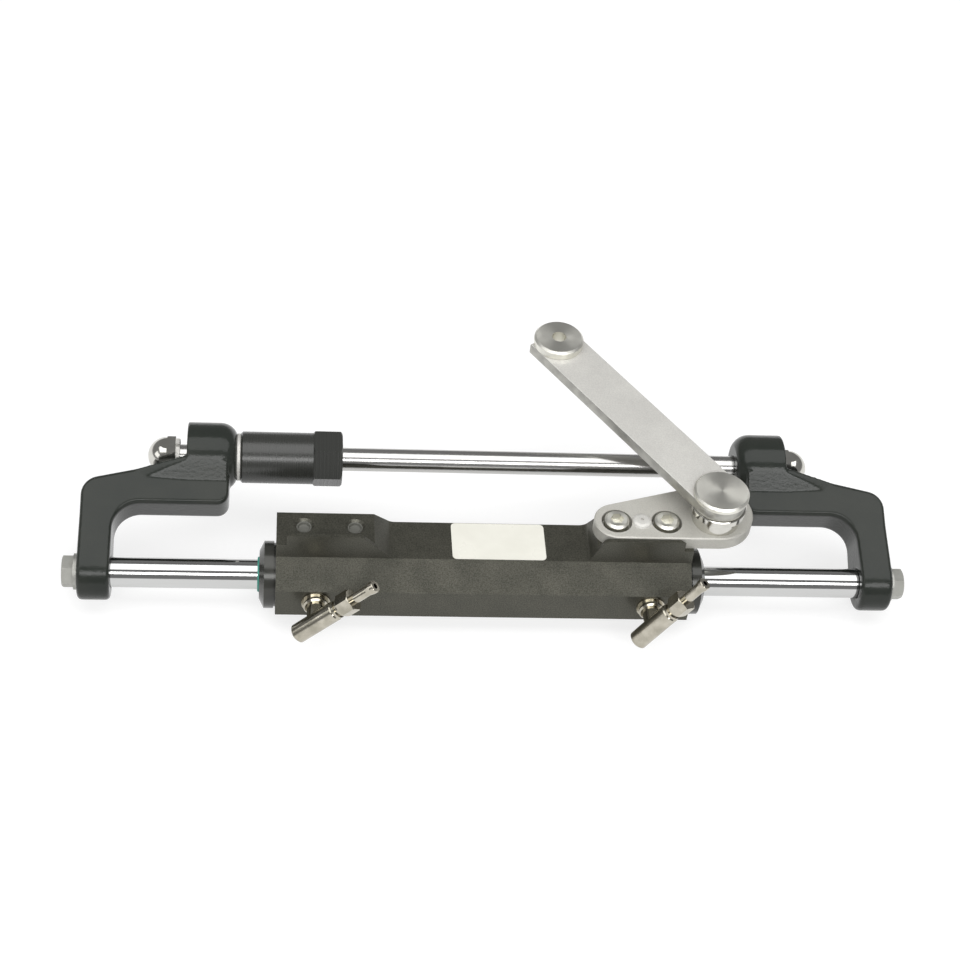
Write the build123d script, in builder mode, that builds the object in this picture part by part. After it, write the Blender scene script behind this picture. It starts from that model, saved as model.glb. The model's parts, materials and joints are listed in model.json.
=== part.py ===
from build123d import *
import os
from math import acos, asin, atan2, cos, degrees, hypot, radians, sin, sqrt

# Front-mount hydraulic steering cylinder for an outboard engine.
# Origin: middle of the support rod, on its axis. +X runs along the rods, +Y points away
# from the cylinder towards the tiller, +Z is the axis of the link's pivot pin.
# Heights and depths called "above" or "behind" are counted from the piston rod's axis.
# Lengths are in millimetres and angles in degrees.

# Frame: two brackets that carry the piston rod and the support rod
support_reach = 83.5
bracket_tilt = 23.0
leg_seat_span = 251.5
leg_width = 21.5
bracket_thickness = 28.0
arm_inner_reach = 44.5
arm_outer_reach = 76.5
arm_corner_reach = 60.8
inner_corner_radius = 18.0
outer_corner_radius = 13.0
arm_tip_radius = 8.0
bracket_edge_radius = 3.0
rod_boss_radius = 18.5
leg_taper_reach = 38.0
leg_taper_blend = 40.0
support_boss_start = 171.0
support_boss_length = 33.0
support_boss_radius = 23.0
support_boss_round = 12.0
support_boss_blend = 18.0
blend_sink = 0.3
arm_tip_offset = 4.5

# Piston rod, its end bolts and the piston
rod_diameter = 20.0
rod_seat_depth = 3.5
end_bolt_diameter = 12.0
end_bolt_head_flats = 19.0
end_bolt_head_height = 7.5
end_bolt_grip = 24.0
end_washer_diameter = 24.0
end_washer_thickness = 2.5
piston_length = 30.0
bore_diameter = 38.0
piston_clearance = 0.05
circlip_thickness = 1.6
circlip_depth = 1.2

# Support rod and what sits on it
support_rod_diameter = 15.88
support_thread_diameter = 14.0
left_shoulder_gap = 5.2
tab_washer_thickness = 2.7
tab_washer_diameter = 23.0
cap_nut_flats = 23.5
cap_nut_length = 18.7
cap_nut_clearance = 0.8
cap_nut_floor = 3.3
spacer_ring_thickness = 2.7
spacer_ring_diameter = 32.0
sleeve_length = 48.7
sleeve_diameter = 35.0
sleeve_floor = 7.0
adjusting_nut_length = 19.7
adjusting_nut_flats = 33.5
adjusting_thread_diameter = 22.2
sleeve_spigot_length = 8.0
sleeve_spigot_diameter = 28.0
rod_slip = 0.08

# Barrel: milled from one bar, the same at both ends
barrel_centre = -5.5
barrel_length = 276.0
barrel_half_width = 25.5
barrel_back = 26.0
front_face_low = -11.0
front_face_high = 12.0
bottom_half_width = 10.6
deck_front = -7.0
deck_height = 25.5
pad_height = 45.3
pad_back_top = 19.0
seat_height = 37.0
seat_front = -4.3
left_pad_length = 55.5
left_ramp_length = 20.4
right_pad_length = 60.2
right_ramp_length = 9.5
ramp_round = 6.0
lip_end_setback = 10.0
lip_end_cut = 8.0
gland_bore_depth = 19.0

# Glands and seals
gland_radius = 22.4
gland_stickout = 10.8
gland_cone = 3.2
gland_groove_width = 1.2
gland_groove_depth = 1.2
wiper_radius = 11.8
wiper_depth = 3.5
wiper_stickout = 3.0
rod_running_gap = 0.05
bush_radius = 12.0
bush_length = 10.0
bush_inset = 16.5
rod_seal_radius = 14.0
rod_seal_length = 5.0
rod_seal_inset = 2.0
o_ring_inset = 13.0
o_ring_width = 2.6
o_ring_depth = 2.2

# Link plate and its screws
plate_thickness = 9.6
plate_tail_shift_x = 0.5
plate_tail_shift_y = 0.9
plate_tail_radius = 15.5
plate_head_shift_x = 1.2
plate_head_shift_y = 6.8
plate_head_radius = 25.3
plate_edge_chamfer = 0.8
screw_end_inset = 17.9
screw_spacing = 33.6
screw_y = 10.6
screw_diameter = 10.0
screw_head_diameter = 16.5
screw_head_height = 10.0
screw_counterbore_diameter = 20.6
screw_counterbore_depth = 7.5
screw_thread_length = 15.0
screw_socket_flats = 8.0
plug_diameter = 13.6
plug_height = 2.2
spare_spot_diameter = 13.0
spare_spot_depth = 1.5

# Pivot pin and link arm
pin_overhang = 15.5
pin_y = 14.5
pin_diameter = 16.0
pin_head_radius = 18.5
pin_head_height = 3.8
pin_head_chamfer = 1.3
pin_spacer_radius = 16.0
pin_spacer_height = 10.0
arm_washer_radius = 18.5
arm_washer_thickness = 5.0
arm_washer_chamfer = 0.5
pin_nut_flats = 20.0
pin_nut_height = 6.0
pin_washer_radius = 11.5
pin_washer_thickness = 1.5
pin_thread_diameter = 12.0
side_gap = 0.15
arm_thickness = 8.0
arm_width = 34.8
arm_length = 174.3
arm_angle = 123.54
arm_bush_radius = 10.5
tiller_disc_radius = 17.4
tiller_disc_height = 6.0
tiller_hub_radius = 9.0
tiller_hole_diameter = 10.0
tiller_hub_tail = 2.4
running_gap = 0.05

# Hose fittings
port_inset = 26.6
port_height = 2.6
fitting_offset = 18.0
fitting_lean_left = 44.9
fitting_lean_right = 58.3
stem_radius = 6.0
stem_flange_radius = 8.3
stem_flange_height = 4.0
port_washer_radius = 9.6
port_washer_thickness = 1.6
port_thread_radius = 5.0
port_thread_gap = 0.4
tee_radius = 6.6
tee_back = 17.0
tee_front = 18.0
tee_chamfer = 1.2
hose_collar_radius = 6.2
hose_neck_radius = 4.9
hose_collar_length = 5.0
hose_nut_flats = 14.0
hose_nut_length = 10.0
hose_tail_length = 19.0
hose_tail_radius = 3.5
hose_tail_bore = 1.8
hose_tip_radius = 4.2
hose_tip_length = 3.0
hose_flare_length = 3.5
bleed_screw_radius = 3.5
bleed_screw_length = 9.0
bleed_screw_flats = 3.0

# Bare label on the deck
label_start = -27.5
label_end = 35.0
label_front = -6.6
label_back = 25.5
label_thickness = 0.3
label_corner = 3.0

# Places worked out from the sizes above
cylinder_y = -support_reach * cos(radians(bracket_tilt))
cylinder_z = -support_reach * sin(radians(bracket_tilt))
rod_radius = rod_diameter / 2
bore_radius = bore_diameter / 2
barrel_half = barrel_length / 2
barrel_left = barrel_centre - barrel_half
barrel_right = barrel_centre + barrel_half
support_boss_end = support_boss_start + support_boss_length
leg_outer = leg_seat_span + leg_width
plate_bottom = seat_height
plate_top = plate_bottom + plate_thickness
screw_outer_x = barrel_right - screw_end_inset
screw_inner_x = screw_outer_x - screw_spacing
pin_x = barrel_right + pin_overhang
port_thread_length = barrel_half_width - bore_radius - port_thread_gap
spacer_top = plate_top + pin_spacer_height
arm_bottom = spacer_top + arm_washer_thickness + side_gap
arm_top = arm_bottom + arm_thickness
head_bottom = arm_top + side_gap

rod_plane = Plane(origin=(0, cylinder_y, cylinder_z), x_dir=(1, 0, 0), z_dir=(0, -1, 0))
support_plane = Plane(origin=(0, 0, 0), x_dir=(1, 0, 0), z_dir=(0, -1, 0))
bracket_plane = Plane(
    origin=(0, cylinder_y, cylinder_z),
    x_dir=(1, 0, 0),
    z_dir=(0, -sin(radians(bracket_tilt)), cos(radians(bracket_tilt))),
)
side_plane = Plane(origin=bracket_plane.origin, x_dir=bracket_plane.y_dir, z_dir=(1, 0, 0))


def section_at(x, centre=rod_plane):
    """Plane across a rod at x, facing +X, with its first axis along +Y."""
    return Plane(origin=centre.origin + Vector(x, 0, 0), x_dir=(0, 1, 0), z_dir=(1, 0, 0))


def level_at(z, x=0.0, y=0.0):
    """Horizontal plane at a height above the piston rod's axis."""
    return Plane(origin=(x, cylinder_y + y, cylinder_z + z), x_dir=(1, 0, 0), z_dir=(0, 0, 1))


def across(plane, distance):
    """Plane across a profile plane's first axis, at a distance along it."""
    return Plane(origin=plane.origin + plane.x_dir * distance, x_dir=plane.z_dir,
                 z_dir=plane.x_dir)


def turn(points, plane=rod_plane, mode=Mode.ADD):
    """Turn an outline of (along, radius) points about the plane's first axis."""
    with BuildSketch(plane) as profile:
        with BuildLine():
            Polyline(*points, close=True)
        make_face()
    revolve(profile.sketch, axis=Axis(plane.origin, plane.x_dir), mode=mode)


def ring(start, end, inner, outer, plane=rod_plane, mode=Mode.ADD):
    """Turn a plain ring, or a disc when its inner radius is nought."""
    turn([(start, inner), (end, inner), (end, outer), (start, outer)], plane, mode)


def hexagon(plane, flats, length, mode=Mode.ADD):
    """Hexagonal bar from a plane along its normal."""
    with BuildSketch(plane) as outline:
        RegularPolygon(radius=flats / 2, side_count=6, major_radius=False)
    extrude(outline.sketch, amount=length, mode=mode)


os.makedirs("parts", exist_ok=True)

# Right bracket: a cast arm with a boss for each rod. Its plan is cut to the leg's side view,
# which swells from the arm's thickness to the round seat of the piston rod.
with BuildPart() as bracket_right:
    tip_x = support_boss_start + arm_tip_offset
    root_x = support_boss_end - 1.0
    with BuildSketch(bracket_plane):
        with BuildLine():
            inner = FilletPolyline(
                (leg_seat_span, -rod_boss_radius - 1),
                (leg_seat_span, arm_inner_reach),
                (tip_x, arm_inner_reach),
                (tip_x, support_reach),
                radius=[inner_corner_radius, arm_tip_radius],
            )
            outer = FilletPolyline(
                (root_x, arm_outer_reach),
                (leg_outer, arm_corner_reach),
                (leg_outer, -rod_boss_radius - 1),
                radius=outer_corner_radius,
            )
            Polyline(inner @ 1, (root_x, support_reach), outer @ 0)
            Line(outer @ 1, inner @ 0)
        make_face()
    extrude(amount=rod_boss_radius + 1, both=True)
    half_thickness = bracket_thickness / 2
    corner_angle = degrees(atan2(half_thickness, leg_taper_reach))
    seat_angle = degrees(acos(rod_boss_radius / hypot(half_thickness, leg_taper_reach)))
    tangent_angle = corner_angle + seat_angle
    with BuildSketch(side_plane) as side_view:
        with BuildLine():
            seat_round = CenterArc((0, 0), rod_boss_radius, tangent_angle, 360 - 2 * tangent_angle)
            Polyline(
                seat_round @ 1,
                (leg_taper_reach, -half_thickness),
                (support_reach + 1, -half_thickness),
                (support_reach + 1, half_thickness),
                (leg_taper_reach, half_thickness),
                seat_round @ 0,
            )
        make_face()
        taper_ends = side_view.vertices().filter_by(
            lambda vertex: abs(side_plane.to_local_coords(vertex).X - leg_taper_reach) < 0.01)
        fillet(taper_ends, radius=leg_taper_blend)
    extrude(amount=leg_outer + 1, mode=Mode.INTERSECT)
    normal = bracket_plane.z_dir
    skins = bracket_right.faces().filter_by(
        lambda face: abs(face.normal_at().dot(normal)) > 0.05 or face.center().Z < cylinder_z)
    skin_edges = [edge for face in skins for edge in face.edges()]
    rims = [edge for edge in skin_edges
            if sum(edge.is_same(other) for other in skin_edges) == 1
            and abs(bracket_plane.to_local_coords(edge.center()).Y - support_reach) > 1
            and bracket_plane.to_local_coords(edge.center()).X != root_x]
    fillet(rims, radius=bracket_edge_radius)
    round_centre = support_boss_start + support_boss_round - 1.0
    round_sweep = degrees(asin(1 - 1.0 / support_boss_round))
    with BuildSketch(support_plane):
        with BuildLine():
            end_round = CenterArc(
                center=(round_centre, support_boss_radius - support_boss_round),
                radius=support_boss_round,
                start_angle=90,
                arc_size=round_sweep,
            )
            Polyline(
                end_round @ 1,
                (support_boss_start, 0),
                (support_boss_end, 0),
                (support_boss_end, support_boss_radius),
                end_round @ 0,
            )
        make_face()
    revolve(axis=Axis.X)
    blend_level = half_thickness + support_boss_blend - blend_sink
    blend_reach = support_boss_radius + support_boss_blend - blend_sink
    blend_span = sqrt(blend_reach ** 2 - blend_level ** 2)
    blend_angle = degrees(atan2(blend_span, blend_level))
    with BuildSketch(side_plane.offset(support_boss_start + support_boss_round)):
        with BuildLine():
            hollow = CenterArc((support_reach - blend_span, blend_level), support_boss_blend, -90,
                               blend_angle)
            Polyline(hollow @ 1, (support_reach, 0), (support_reach - blend_span, 0), hollow @ 0)
        make_face()
        mirror(about=Plane.XZ)
    extrude(amount=support_boss_length - support_boss_round)
    bore_radius_support = support_rod_diameter / 2
    ring(support_boss_start - 1, support_boss_end + 1, 0, bore_radius_support, support_plane,
         Mode.SUBTRACT)
    nut_sweep = cap_nut_flats / 2 / cos(radians(30)) + cap_nut_clearance
    nut_room = left_shoulder_gap + tab_washer_thickness + cap_nut_length
    ring(support_boss_end, support_boss_end + nut_room, 0, nut_sweep, support_plane,
         Mode.SUBTRACT)
    ring(leg_seat_span - 1, leg_seat_span + rod_seat_depth, 0, rod_radius, mode=Mode.SUBTRACT)
    ring(leg_seat_span, leg_outer + 1, 0, end_bolt_diameter / 2 + 0.2, mode=Mode.SUBTRACT)
bracket_right.part.label = "bracket_right"
export_step(bracket_right.part, "parts/bracket_right.step")

with BuildPart() as bracket_left:
    mirror(bracket_right.part, about=Plane.YZ)
bracket_left.part.label = "bracket_left"
export_step(bracket_left.part, "parts/bracket_left.step")

# Piston rod: chromed bar, tapped at both ends, with a groove each side of the piston
rod_half = leg_seat_span + rod_seat_depth
with BuildPart() as piston_rod:
    ring(-rod_half, rod_half, 0, rod_radius)
    chamfer(piston_rod.edges().filter_by(GeomType.CIRCLE), length=0.8)
    for side in (-1, 1):
        near = side * piston_length / 2
        far = side * (piston_length / 2 + circlip_thickness)
        tap_floor = side * (rod_half - end_bolt_grip)
        ring(near, far, rod_radius - circlip_depth, rod_radius + 1, mode=Mode.SUBTRACT)
        ring(tap_floor, side * (rod_half + 1), 0, end_bolt_diameter / 2, mode=Mode.SUBTRACT)
piston_rod.part.label = "piston_rod"
export_step(piston_rod.part, "parts/piston_rod.step")

# Piston with a seal groove between two wear ring grooves
piston_radius = bore_radius - piston_clearance
groove_floor = piston_radius - 3.0
seal_half = 2.6
wear_ring_inner = 6.0
wear_ring_outer = 11.0
with BuildPart() as piston:
    ring(-piston_length / 2, piston_length / 2, rod_radius, piston_radius)
    ring(-seal_half, seal_half, groove_floor, bore_radius, mode=Mode.SUBTRACT)
    for side in (-1, 1):
        ring(side * wear_ring_inner, side * wear_ring_outer, groove_floor + 1, bore_radius,
             mode=Mode.SUBTRACT)
piston.part.label = "piston"
export_step(piston.part, "parts/piston.step")

ring_radius = bore_radius - piston_clearance / 2
with BuildPart() as piston_seal:
    ring(-seal_half, seal_half, groove_floor, ring_radius)
piston_seal.part.label = "piston_seal"
export_step(piston_seal.part, "parts/piston_seal.step")

with BuildPart() as piston_wear_rings:
    for side in (-1, 1):
        ring(side * wear_ring_inner, side * wear_ring_outer, groove_floor + 1, ring_radius)
piston_wear_rings.part.label = "piston_wear_rings"
export_step(piston_wear_rings.part, "parts/piston_wear_rings.step")

with BuildPart() as piston_circlips:
    for side in (-1, 1):
        ring(side * piston_length / 2, side * (piston_length / 2 + circlip_thickness),
             rod_radius - circlip_depth, rod_radius + 2.0)
piston_circlips.part.label = "piston_circlips"
export_step(piston_circlips.part, "parts/piston_circlips.step")

# End bolts and washers that clamp the rod between the brackets
for name, side in (("left", -1), ("right", 1)):
    seat = leg_outer + end_washer_thickness
    with BuildPart() as end_bolt:
        hexagon(section_at(side * seat), end_bolt_head_flats, side * end_bolt_head_height)
        head_end = seat + end_bolt_head_height
        corner = end_bolt_head_flats / 2 / cos(radians(30))
        ease = corner - end_bolt_head_flats / 2
        turn([
            (side * (head_end - ease * 0.58), corner + 1),
            (side * (head_end - ease * 0.58), corner),
            (side * head_end, corner - ease),
            (side * head_end, corner + 1),
        ], mode=Mode.SUBTRACT)
        shank_end = rod_half - end_bolt_grip + 2
        ring(side * shank_end, side * seat, 0, end_bolt_diameter / 2 - 0.04)
    end_bolt.part.label = "end_bolt_" + name
    export_step(end_bolt.part, "parts/end_bolt_" + name + ".step")

    with BuildPart() as end_washer:
        ring(side * leg_outer, side * seat, end_bolt_diameter / 2 + 0.2, end_washer_diameter / 2)
    end_washer.part.label = "end_washer_" + name
    export_step(end_washer.part, "parts/end_washer_" + name + ".step")

# Support rod: passes through the engine's tilt tube, turned down for a nut at each end
support_radius = support_rod_diameter / 2
thread_radius = support_thread_diameter / 2
left_shoulder = -(support_boss_end + left_shoulder_gap)
left_nut_face = left_shoulder - tab_washer_thickness
left_thread_end = left_nut_face - cap_nut_length + cap_nut_floor + 0.2
right_thread_end = support_boss_end + cap_nut_length - cap_nut_floor - 0.2
with BuildPart() as support_rod:
    turn([
        (left_thread_end, 0),
        (left_thread_end, thread_radius - 1),
        (left_thread_end + 1, thread_radius),
        (left_shoulder, thread_radius),
        (left_shoulder, support_radius),
        (support_boss_end - 0.5, support_radius),
        (support_boss_end - 0.5, thread_radius),
        (right_thread_end - 1, thread_radius),
        (right_thread_end, thread_radius - 1),
        (right_thread_end, 0),
    ], support_plane)
support_rod.part.label = "support_rod"
export_step(support_rod.part, "parts/support_rod.step")


for name, face, side in (("left", left_nut_face, -1), ("right", support_boss_end, 1)):
    with BuildPart() as support_nut:
        dome_radius = cap_nut_flats / 2 + 1.0
        dome_centre = face + side * (cap_nut_length - dome_radius)
        hexagon(section_at(face, support_plane), cap_nut_flats, side * cap_nut_length)
        with BuildSketch(support_plane) as dome:
            with BuildLine():
                arc = CenterArc((dome_centre, 0), dome_radius, 0 if side > 0 else 90, 90)
                Polyline(
                    (dome_centre, dome_radius),
                    (dome_centre - side * 1.5, dome_radius + 3),
                    (face - side, dome_radius + 3),
                    (face - side, 0),
                    (dome_centre + side * dome_radius, 0),
                )
            make_face()
        revolve(dome.sketch, axis=Axis.X, mode=Mode.INTERSECT)
        thread_end = face + side * (cap_nut_length - cap_nut_floor)
        ring(face - side, thread_end, 0, thread_radius, support_plane, Mode.SUBTRACT)
    support_nut.part.label = "support_nut_" + name
    export_step(support_nut.part, "parts/support_nut_" + name + ".step")

# Tab washer under the left cap nut
with BuildPart() as tab_washer:
    ring(left_nut_face, left_shoulder, thread_radius, tab_washer_diameter / 2, support_plane)
    with BuildSketch(section_at(left_nut_face, support_plane)) as tab:
        with Locations((0, tab_washer_diameter / 2)):
            Rectangle(5, 5)
    extrude(tab.sketch, amount=tab_washer_thickness)
tab_washer.part.label = "tab_washer"
export_step(tab_washer.part, "parts/tab_washer.step")

# Spacer ring, adjusting sleeve and adjusting nut on the left of the tilt tube
ring_start = -support_boss_start
sleeve_start = ring_start + spacer_ring_thickness
sleeve_end = sleeve_start + sleeve_length
adjusting_end = sleeve_end + adjusting_nut_length
slip_radius = support_radius + rod_slip
tube_radius = adjusting_thread_diameter / 2
with BuildPart() as spacer_ring:
    ring(ring_start, sleeve_start, slip_radius, spacer_ring_diameter / 2, support_plane)
    chamfer(spacer_ring.edges().filter_by(GeomType.CIRCLE).sort_by(SortBy.RADIUS)[-2:], length=0.5)
spacer_ring.part.label = "spacer_ring"
export_step(spacer_ring.part, "parts/spacer_ring.step")

with BuildPart() as adjusting_sleeve:
    turn([
        (sleeve_start, slip_radius),
        (sleeve_start, sleeve_diameter / 2 - 1.2),
        (sleeve_start + 1.2, sleeve_diameter / 2),
        (sleeve_end, sleeve_diameter / 2),
        (sleeve_end, sleeve_spigot_diameter / 2),
        (sleeve_end + sleeve_spigot_length, sleeve_spigot_diameter / 2),
        (sleeve_end + sleeve_spigot_length, tube_radius),
        (sleeve_start + sleeve_floor, tube_radius),
        (sleeve_start + sleeve_floor, slip_radius),
    ], support_plane)
adjusting_sleeve.part.label = "adjusting_sleeve"
export_step(adjusting_sleeve.part, "parts/adjusting_sleeve.step")

with BuildPart() as adjusting_nut:
    hexagon(section_at(sleeve_end, support_plane), adjusting_nut_flats, adjusting_nut_length)
    corner = adjusting_nut_flats / 2 / cos(radians(30))
    for face, way in ((sleeve_end, 1), (adjusting_end, -1)):
        turn([
            (face, corner - 2),
            (face + way * 1.2, corner),
            (face + way * 1.2, corner + 1),
            (face, corner + 1),
        ], support_plane, Mode.SUBTRACT)
    ring(sleeve_end - 1, adjusting_end + 1, 0, tube_radius, support_plane, Mode.SUBTRACT)
    ring(sleeve_end - 1, sleeve_end + sleeve_spigot_length, 0, sleeve_spigot_diameter / 2,
         support_plane, Mode.SUBTRACT)
adjusting_nut.part.label = "adjusting_nut"
export_step(adjusting_nut.part, "parts/adjusting_nut.step")

# Barrel: octagonal bar with a raised pad at each end and a milled waist between them
with BuildPart() as barrel:
    with BuildSketch(section_at(barrel_left)):
        with BuildLine():
            Polyline(
                (-barrel_half_width, front_face_low),
                (-barrel_half_width, front_face_high),
                (deck_front, deck_height),
                (deck_front, pad_height),
                (pad_back_top, pad_height),
                (barrel_back, deck_height),
                (barrel_back, -bottom_half_width),
                (bottom_half_width, -barrel_half_width),
                (-bottom_half_width, -barrel_half_width),
                close=True,
            )
        make_face()
    extrude(amount=barrel_length)
    left_crest = barrel_left + left_pad_length
    right_crest = barrel_right - right_pad_length
    with BuildSketch(rod_plane):
        with BuildLine():
            waist = FilletPolyline(
                (left_crest - ramp_round, pad_height),
                (left_crest, pad_height),
                (left_crest + left_ramp_length, deck_height),
                (right_crest - right_ramp_length, deck_height),
                (right_crest, pad_height),
                (right_crest + ramp_round, pad_height),
                radius=ramp_round,
            )
            Polyline(
                waist @ 1,
                (right_crest + ramp_round, pad_height + 1),
                (left_crest - ramp_round, pad_height + 1),
                waist @ 0,
            )
        make_face()
    extrude(amount=barrel_half_width * 2, both=True, mode=Mode.SUBTRACT)
    for side in (-1, 1):
        end_x = barrel_centre + side * barrel_half
        with BuildSketch(level_at(seat_height)) as seat:
            with BuildLine():
                Polyline(
                    (barrel_centre, seat_front),
                    (end_x - side * lip_end_setback, seat_front),
                    (end_x, seat_front - lip_end_cut),
                    (end_x, barrel_back + 1),
                    (barrel_centre, barrel_back + 1),
                    close=True,
                )
            make_face()
        extrude(seat.sketch, amount=pad_height, mode=Mode.SUBTRACT)
    ring(barrel_left - 1, barrel_right + 1, 0, bore_radius, mode=Mode.SUBTRACT)
    for x in (screw_inner_x, screw_outer_x):
        mirrored_x = 2 * barrel_centre - x
        with BuildSketch(level_at(seat_height)) as holes:
            with Locations((x, screw_y), (mirrored_x, screw_y)):
                Circle(screw_diameter / 2)
        extrude(holes.sketch, amount=-screw_thread_length, mode=Mode.SUBTRACT)
        spot_plane = Plane(origin=level_at(seat_height, mirrored_x, screw_y).origin,
                           x_dir=(0, 0, -1), z_dir=(0, 1, 0))
        turn([
            (0, 0),
            (0, spare_spot_diameter / 2),
            (spare_spot_depth, screw_diameter / 2),
            (spare_spot_depth, 0),
        ], spot_plane, Mode.SUBTRACT)
    for side in (-1, 1):
        port_x = barrel_centre + side * (barrel_half - port_inset)
        with BuildSketch(rod_plane.offset(barrel_half_width)) as ports:
            with Locations((port_x, port_height)):
                Circle(port_thread_radius)
        extrude(ports.sketch, amount=-(barrel_half_width - bore_radius / 2), mode=Mode.SUBTRACT)
barrel.part.label = "barrel"
export_step(barrel.part, "parts/barrel.step")

# Bare label on the deck
with BuildPart() as label:
    with BuildSketch(level_at(deck_height)):
        with Locations(((label_start + label_end) / 2, (label_front + label_back) / 2)):
            RectangleRounded(label_end - label_start, label_back - label_front, label_corner)
    extrude(amount=label_thickness)
label.part.label = "label"
export_step(label.part, "parts/label.step")

# Glands, their seals and the guide bushes that run on the piston rod
rod_hole = rod_radius + rod_running_gap
wiper_floor = gland_stickout - wiper_depth
wiper_end = gland_stickout + wiper_stickout
bush_room = 0.1
for name, side in (("left", -1), ("right", 1)):
    end_plane = Plane(origin=rod_plane.origin + Vector(barrel_centre + side * barrel_half, 0, 0),
                      x_dir=(side, 0, 0), z_dir=(0, -1, 0))
    with BuildPart() as gland:
        turn([
            (-gland_bore_depth, rod_hole),
            (-gland_bore_depth, bore_radius),
            (0, bore_radius),
            (0, gland_radius - gland_groove_depth),
            (gland_groove_width, gland_radius - gland_groove_depth),
            (gland_groove_width, gland_radius),
            (gland_stickout - gland_cone, gland_radius),
            (gland_stickout, gland_radius - gland_cone * 2),
            (gland_stickout, rod_hole),
        ], end_plane)
        ring(wiper_floor, gland_stickout + 1, 0, wiper_radius, end_plane, Mode.SUBTRACT)
        ring(-rod_seal_inset, rod_seal_length - rod_seal_inset, 0, rod_seal_radius, end_plane,
             Mode.SUBTRACT)
        ring(-bush_inset - bush_room, bush_length + bush_room - bush_inset, 0,
             bush_radius + running_gap, end_plane, Mode.SUBTRACT)
        ring(-o_ring_inset, o_ring_width - o_ring_inset, bore_radius - o_ring_depth,
             bore_radius + 1, end_plane, Mode.SUBTRACT)
    gland.part.label = "gland_" + name
    export_step(gland.part, "parts/gland_" + name + ".step")

    with BuildPart() as rod_wiper:
        turn([
            (wiper_floor, rod_hole),
            (wiper_floor, wiper_radius),
            (wiper_end - wiper_stickout / 2, wiper_radius),
            (wiper_end, rod_hole + 0.5),
            (wiper_end, rod_hole),
        ], end_plane)
    rod_wiper.part.label = "rod_wiper_" + name
    export_step(rod_wiper.part, "parts/rod_wiper_" + name + ".step")

    with BuildPart() as rod_seal:
        ring(-rod_seal_inset, rod_seal_length - rod_seal_inset, rod_hole, rod_seal_radius,
             end_plane)
    rod_seal.part.label = "rod_seal_" + name
    export_step(rod_seal.part, "parts/rod_seal_" + name + ".step")

    with BuildPart() as gland_o_ring:
        ring(-o_ring_inset, o_ring_width - o_ring_inset, bore_radius - o_ring_depth, bore_radius,
             end_plane)
    gland_o_ring.part.label = "gland_o_ring_" + name
    export_step(gland_o_ring.part, "parts/gland_o_ring_" + name + ".step")

    with BuildPart() as guide_bush:
        ring(-bush_inset, bush_length - bush_inset, rod_hole, bush_radius, end_plane)
    guide_bush.part.label = "guide_bush_" + name
    export_step(guide_bush.part, "parts/guide_bush_" + name + ".step")

# Link plate: tapered plate that carries the pivot pin beyond the barrel's end
with BuildPart() as link_plate:
    with BuildSketch(level_at(plate_bottom)):
        with Locations((screw_inner_x + plate_tail_shift_x, screw_y + plate_tail_shift_y)):
            Circle(plate_tail_radius)
        with Locations((pin_x + plate_head_shift_x, pin_y + plate_head_shift_y)):
            Circle(plate_head_radius)
        make_hull()
    extrude(amount=plate_thickness)
    chamfer(link_plate.faces().sort_by(Axis.Z)[-1].edges(), length=plate_edge_chamfer)
    counterbore_floor = plate_top - screw_counterbore_depth
    for x in (screw_inner_x, screw_outer_x):
        with BuildSketch(level_at(plate_bottom)) as screw_hole:
            with Locations((x, screw_y)):
                Circle(screw_diameter / 2 + 0.5)
        extrude(screw_hole.sketch, amount=plate_thickness, mode=Mode.SUBTRACT)
        with BuildSketch(level_at(counterbore_floor)) as counterbore:
            with Locations((x, screw_y)):
                Circle(screw_counterbore_diameter / 2)
        extrude(counterbore.sketch, amount=plate_thickness, mode=Mode.SUBTRACT)
    with BuildSketch(level_at(plate_bottom)) as pin_hole:
        with Locations((pin_x, pin_y)):
            Circle(pin_diameter / 2)
    extrude(pin_hole.sketch, amount=plate_thickness, mode=Mode.SUBTRACT)
link_plate.part.label = "link_plate"
export_step(link_plate.part, "parts/link_plate.step")

# Socket screws that hold the plate, each with a low collar round its head
for name, x in (("inner", screw_inner_x), ("outer", screw_outer_x)):
    upright = Plane(
        origin=(x, cylinder_y + screw_y, cylinder_z), x_dir=(0, 0, 1), z_dir=(0, 1, 0)
    )
    head_floor = counterbore_floor
    head_top = head_floor + screw_head_height
    with BuildPart() as plate_screw:
        turn([
            (seat_height - screw_thread_length + 1.5, 0),
            (seat_height - screw_thread_length + 1.5, screw_diameter / 2 - 0.04),
            (head_floor, screw_diameter / 2 - 0.04),
            (head_floor, screw_head_diameter / 2),
            (head_top - 1.5, screw_head_diameter / 2),
            (head_top, screw_head_diameter / 2 - 1.5),
            (head_top, 0),
        ], upright)
        hexagon(level_at(head_top, x, screw_y), screw_socket_flats, -screw_head_height * 0.55,
                Mode.SUBTRACT)
    plate_screw.part.label = "plate_screw_" + name
    export_step(plate_screw.part, "parts/plate_screw_" + name + ".step")

# Domed plug between the screws
plug_plane = Plane(
    origin=((screw_inner_x + screw_outer_x) / 2, cylinder_y + screw_y, cylinder_z),
    x_dir=(0, 0, 1),
    z_dir=(0, 1, 0),
)
with BuildPart() as plate_plug:
    plug_radius = plug_diameter / 2
    turn([
        (plate_top, 0),
        (plate_top, plug_radius),
        (plate_top + plug_height * 0.55, plug_radius - 0.8),
        (plate_top + plug_height * 0.9, plug_radius - 2.6),
        (plate_top + plug_height, 0),
    ], plug_plane)
    ring(plate_top + plug_height * 0.4, plate_top + plug_height + 1, 0, 1.2, plug_plane,
         Mode.SUBTRACT)
    for x in (screw_inner_x, screw_outer_x):
        clear = Plane(
            origin=(x, cylinder_y + screw_y, cylinder_z), x_dir=(0, 0, 1), z_dir=(0, 1, 0)
        )
        ring(plate_top, plate_top + plug_height + 1, 0, screw_counterbore_diameter / 2 + 0.1,
             clear, Mode.SUBTRACT)
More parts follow.
